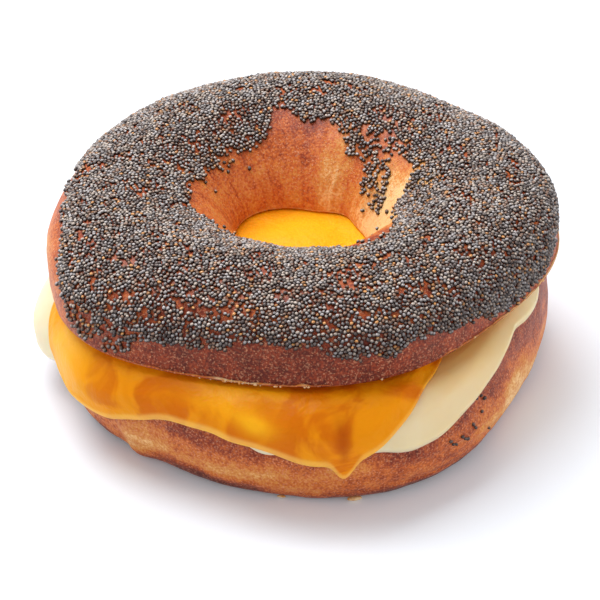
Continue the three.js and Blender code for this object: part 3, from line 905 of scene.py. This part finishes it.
def strewn(surface, low, high, count, spacing, draw, rounds=8):
    """Even, unordered places on a surface: drawn by area, then pushed apart until they keep the spacing. Each
    round compares a place only with those of about its own bearing."""
    many = 4 * count
    bearing = draw.uniform(0, TURN, many)
    along = draw.uniform(low, high, many)
    _, across, up, _ = surface_frame(surface, bearing, along)
    area = np.linalg.norm(np.cross(across, up), axis=1)
    kept = np.nonzero(draw.uniform(0, area.max(), many) < area)[0][:count]
    bearing, along = bearing[kept], along[kept]
    for _ in range(rounds):
        order = np.argsort(bearing)
        bearing, along = bearing[order], along[order]
        point, across, up, _ = surface_frame(surface, bearing, along)
        push = np.zeros_like(point)
        margin = len(point) // 70
        for part in np.array_split(np.arange(len(point)), 64):
            beside = np.arange(part[0] - margin, part[-1] + margin) % len(point)
            apart = point[part, None] - point[beside][None]
            distance = np.sqrt((apart ** 2).sum(-1))
            near = (distance < spacing) & (distance > 0)
            weight = np.where(near, (spacing - distance) / np.maximum(distance, 1e-9), 0)
            push[part] = 0.5 * (apart * weight[..., None]).sum(1)
        bearing = bearing + (push * across).sum(1) / (across ** 2).sum(1)
        along = np.clip(along + (push * up).sum(1) / (up ** 2).sum(1), low, high)
    return bearing, along


def seed_shape(columns=7, rows=4):
    """A kidney of unit length: an ellipsoid bent along its length, with a dent on its inner side."""
    tilt = math.pi * np.arange(1, rows) / rows
    tilt, turn = [v.ravel() for v in np.meshgrid(tilt, TURN * np.arange(columns) / columns, indexing="ij")]
    points = np.stack([np.cos(tilt), np.sin(tilt) * np.cos(turn), np.sin(tilt) * np.sin(turn)], -1)
    x, y, z = np.concatenate([points, [[1, 0, 0], [-1, 0, 0]]]).T
    bent = y * 0.86 + 0.2 * (x ** 2 - 0.5)
    bent += 0.12 * bell(x, 0, 0.4) * np.clip(-y, 0, 1)
    return np.stack([0.5 * x, 0.5 * bent, 0.42 * z], -1), sheet_triangles(rows - 1, columns)


def scattered(points, normals, sizes, draw, shape, lean=0.6):
    """Copies of a small shape, each turned at random about the surface's normal and tipped by up to lean. A point
    attribute for painted light and shade runs from 0 on a copy's side away from the lights, pressed to the
    surface, to 1 on its side facing up toward the lights, and a tint attribute is a random share for each."""
    body, faces = shape
    count = len(points)
    up = unit(normals + lean * draw.uniform(-1, 1, (count, 3)))
    side = unit(np.cross(up, draw.normal(size=(count, 3))))
    offsets = body[None] @ np.stack([side, np.cross(up, side), up], 1)
    placed = points[:, None] + sizes[:, None, None] * offsets
    indices = faces[None] + (np.arange(count) * len(body))[:, None, None]
    # Painted light: the direction each seed's lit side faces, up and a little toward the lights at the back left
    upper = unit(0.35 * normals + np.array([-0.2, 0.1, 0.9]))
    values = {
        "lit_side": 0.5 + (offsets * upper[:, None]).sum(-1) / 0.84,
        "tint": np.repeat(draw.random(count)[:, None], len(body), 1),
    }
    return placed.reshape(-1, 3), indices.reshape(-1, 3), values


class BAGEL_OT_seeds(Operator):
    """Strew poppy seeds over the upper half, thick on top and thin where the crust shows, and a few below."""
    bl_idname = "bagel.seeds"
    bl_label = "Poppy seeds"

    def execute(self, context):
        dough, filling, seeds, colours = groups(context)
        draw = np.random.default_rng(7)
        surface = partial(crown_surface, dough, filling)
        bearing, along = strewn(surface, 0.35, 2.8, seeds.count, seeds.spacing, draw)
        point, _, _, normal = surface_frame(surface, bearing, along)
        point = crown_relief(point, normal, bearing, along)
        ragged = lattice_noise(point, 5 * MM, 41)
        uneven = (1.6 - 1.1 * hump(bearing, 195, 20, 4)) * ragged + 0.4 * draw.normal(size=len(point))
        above = above_cut(dough, filling, point) - seed_floor(bearing) + uneven * MM
        depth = funnel_limit(bearing) + 0.05 * ragged + 0.02 * draw.normal(size=len(point)) - (along - 2)
        covered = (above > 0) & (depth > 0)
        loose = draw.random(len(point)) < 0.008 * (depth > -0.25) * (above > -2 * MM)
        patchy = 0.8 * lattice_noise(point, 6 * MM, 42) + 0.8 * lattice_noise(point, 2.6 * MM, 43)
        sparse = 0.55 * hump(bearing, 249, 8) * bell(along, 1.42, 0.09)
        sparse += 0.15 * hump(bearing, 287, 12) * bell(along, 1.85, 0.15)
        sparse += 0.45 * hump(bearing, 219, 12) * (along < 1.12)
        sparse += 0.52 * hump(bearing, 42, 22) * smooth(along, 2.2, 2.4)
        dropped = draw.random(len(point)) < 0.02 + 0.2 * smooth(patchy, 0.7, 1.2) + sparse
        kept = (covered & ~dropped & ~bare_wedge(bearing, along)) | loose
        point, normal = point[kept], normal[kept]
        sizes = seeds.seed_length * draw.uniform(0.86, 1.1, len(point))
        point = point + normal * (sizes * draw.uniform(0.18, 0.4, len(point)))[:, None]
        kind = draw.choice(len(SEED_SHARES), len(point), p=tuple(SEED_SHARES.values()))
        shape = seed_shape()
        skins = {k: seed_skin("poppy_skin_" + k, colours, getattr(colours, "seed_" + k)) for k in SEED_SHARES}
        for index, (name, material) in enumerate(skins.items()):
            chosen = kind == index
            placed, faces, values = scattered(point[chosen], normal[chosen], sizes[chosen], draw, shape)
            new_piece("seeds_" + name, placed, faces, material, (), values)
        self.heel_seeds(dough, draw, shape, skins["black"])
        return {"FINISHED"}

    def heel_seeds(self, dough, draw, shape, material):
        """A few seeds stuck to the lower half at the right, in loose clusters by bearing and height."""
        spots = np.array(HEEL_SEEDS)
        bearing, height = np.radians(spots[:, 0]), spots[:, 1] * MM
        belly = dough.heel_belly
        below = np.arccos(np.clip(1 - height / belly, -1, 1)) / QUARTER
        above = np.arcsin(np.clip((height - belly) / (dough.heel_height - belly), 0, 1)) / QUARTER
        along = np.where(height < belly, 1 + below, 2 + above)
        point, _, _, normal = surface_frame(partial(heel_surface, dough), bearing, along)
        point = heel_relief(point, normal, bearing, along)
        sizes = 0.9 * MM * draw.uniform(0.9, 1.15, len(point))
        point = point + normal * (0.2 * sizes)[:, None]
        placed, faces, values = scattered(point, normal, sizes, draw, shape)
        new_piece("seeds_on_heel", placed, faces, material, (), values)


class BAGEL_OT_crumbs(Operator):
    """Make the torn crumb along the upper half's cut rim and the flakes at the foot of the lower half."""
    bl_idname = "bagel.crumbs"
    bl_label = "Torn crumb"

    def execute(self, context):
        dough, filling, _, colours = groups(context)
        draw = np.random.default_rng(11)
        count = 1500
        bearing = draw.uniform(0, TURN, count)
        bearing = bearing[draw.random(count) < 0.01 + humps(bearing, TORN_BITS)]
        along = 0.06 + 0.1 * draw.random(len(bearing)) ** 2
        point, _, _, normal = surface_frame(partial(crown_surface, dough, filling), bearing, along)
        sizes = MM * draw.uniform(0.3, 0.75, len(bearing))
        point = point - normal * 0.1 * MM
        placed, faces, _ = scattered(point, normal, sizes, draw, seed_shape(6, 3), lean=1.2)
        material = torn_crumb(colours)
        new_piece("crumb_torn", placed, faces, material)
        self.foot_flakes(dough, material)
        return {"FINISHED"}

    def foot_flakes(self, dough, material):
        """Two long flakes stuck to the foot at the front, each given by its bearing and length."""
        body, triangles = seed_shape(12, 8)
        along = 1 + math.acos(1 - 0.6 * MM / dough.heel_belly) / QUARTER
        points, faces = [], []
        for at, size in FOOT_FLAKES:
            bearing = math.radians(at)
            foot = heel_surface(dough, np.array([bearing]), np.array([along]))[0]
            outward = np.array([math.cos(bearing), math.sin(bearing), 0])
            sideways = np.array([-math.sin(bearing), math.cos(bearing), 0])
            x, y, z = (body * (size, 0.5 * size, 0.36 * size) * MM).T[..., None]
            faces.append(triangles + len(body) * len(points))
            points.append(foot + 0.5 * MM * outward + x * sideways + y * outward + z * (0, 0, 1))
        new_piece("crumb_flakes", np.concatenate(points), np.concatenate(faces), material)


class BAGEL_OT_stage(Operator):
    """Set the camera as the photograph's, a white floor and soft light from above and behind."""
    bl_idname = "bagel.stage"
    bl_label = "Stage"

    def execute(self, context):
        scene = context.scene
        elevation = math.radians(CAMERA_ELEVATION)
        target = Vector(CAMERA_TARGET) * MM + Vector(frame_offset(scene.bagel_dough))
        forward = Vector((0, math.cos(elevation), -math.sin(elevation)))
        right = Vector((1, 0, 0))
        camera = bpy.data.objects.new("camera", bpy.data.cameras.new("camera"))
        turn = Matrix((right, right.cross(forward), -forward)).transposed().to_4x4()
        camera.matrix_world = Matrix.Translation(target - forward * CAMERA_DISTANCE) @ turn
        camera.data.lens = FOCAL_PIXELS / FRAME_PIXELS * SENSOR
        camera.data.sensor_width = SENSOR
        camera.data.clip_start = 0.01
        scene.collection.objects.link(camera)
        scene.camera = camera
        self.add_floor(scene)
        for light in LIGHTS:
            self.add_light(scene, *light)
        scene.world = scene.world or bpy.data.worlds.new("studio")
        scene.world.use_nodes = True
        background = scene.world.node_tree.nodes["Background"]
        background.inputs["Color"].default_value = (1, 1, 1, 1)
        background.inputs["Strength"].default_value = 0.6
        scene.view_settings.view_transform = "Standard"
        return {"FINISHED"}

    def add_floor(self, scene):
        """A white seamless floor, flat and wide."""
        mesh = bpy.data.meshes.new("floor")
        half = 2.0
        corners = [(-half, -half, 0), (half, -half, 0), (half, half, 0), (-half, half, 0)]
        mesh.from_pydata(corners, [], [(0, 1, 2, 3)])
        mesh.materials.append(paper_white())
        floor = bpy.data.objects.new("floor", mesh)
        scene.collection.objects.link(floor)

    def add_light(self, scene, name, place, size, power, diffuse):
        """A square soft light aimed at the bagel."""
        light = bpy.data.lights.new(name, "AREA")
        light.size = size
        light.energy = power
        lamp = bpy.data.objects.new(name, light)
        lamp.location = place
        lamp.rotation_euler = (Vector((0, 0, 0.02)) - Vector(place)).to_track_quat("-Z", "Y").to_euler()
        lamp.visible_diffuse = diffuse
        scene.collection.objects.link(lamp)


class BAGEL_PT_sidebar(Panel):
    """Lists the bagel's pieces and the stage."""
    bl_idname = "BAGEL_PT_sidebar"
    bl_label = "Bagel"
    bl_space_type = "VIEW_3D"
    bl_region_type = "UI"
    bl_category = "Bagel"

    def draw(self, context):
        for operator in OPERATORS:
            self.layout.operator(operator.bl_idname)
        for name in GROUPS:
            group = getattr(context.scene, name)
            box = self.layout.box()
            for key in group.bl_rna.properties.keys():
                if key not in ("rna_type", "name"):
                    box.prop(group, key)


OPERATORS = (BAGEL_OT_stage, BAGEL_OT_heel, BAGEL_OT_white, BAGEL_OT_cheese, BAGEL_OT_crown, BAGEL_OT_seeds,
             BAGEL_OT_crumbs)
GROUPS = {
    "bagel_dough": BagelDough,
    "bagel_filling": BagelFilling,
    "bagel_seeds": BagelSeeds,
    "bagel_colours": BagelColours,
}


def register():
    for cls in (*GROUPS.values(), *OPERATORS, BAGEL_PT_sidebar):
        bpy.utils.register_class(cls)
    for name, group in GROUPS.items():
        setattr(bpy.types.Scene, name, PointerProperty(type=group))


def unregister():
    for name in GROUPS:
        delattr(bpy.types.Scene, name)
    for cls in reversed((*GROUPS.values(), *OPERATORS, BAGEL_PT_sidebar)):
        bpy.utils.unregister_class(cls)


def main():
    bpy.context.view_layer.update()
    register()
    for operator in OPERATORS:
        group, name = operator.bl_idname.split(".")
        getattr(getattr(bpy.ops, group), name)()


if __name__ == "__main__":
    main()
